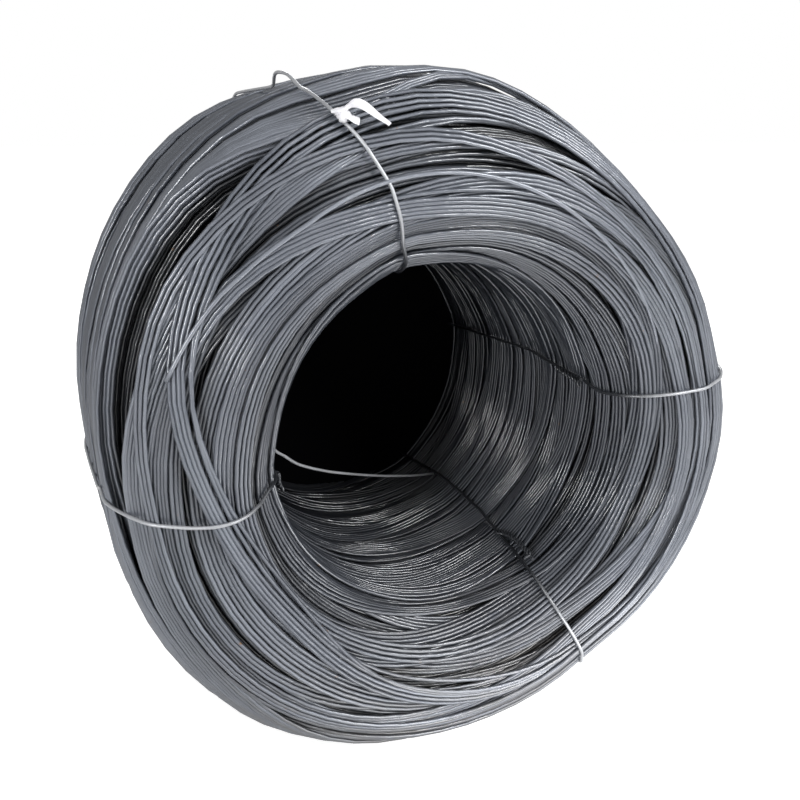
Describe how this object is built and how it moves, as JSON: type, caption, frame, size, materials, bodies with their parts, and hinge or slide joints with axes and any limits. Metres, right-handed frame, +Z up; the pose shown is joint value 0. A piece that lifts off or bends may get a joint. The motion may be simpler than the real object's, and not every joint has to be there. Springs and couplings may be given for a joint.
{
  "type": "wire rod coil",
  "caption": "Coil of steel wire lying on its side, with a round bore, tie wires through the bore and a strip of marker tape.",
  "frame": {"origin": "centre of the coil's footprint on the floor, below the middle of its axis", "axes": "+Z up, +Y along the coil's axis away from its front end, +X to the right seen from the front"},
  "size_m": [0.8834, 0.5786, 0.8818],
  "materials": {
    "coil_wire": "dark blue-grey drawn steel",
    "tie_wire": "plain drawn steel",
    "marker_tape": "white woven tape"
  },
  "bodies": {
    "root": {"wire_coil": "coil_wire", "tie_top": "tie_wire", "tie_right": "tie_wire", "tie_lower_right": "tie_wire", "tie_left": "tie_wire", "marker_tape": "marker_tape"}
  },
  "joints": []
}
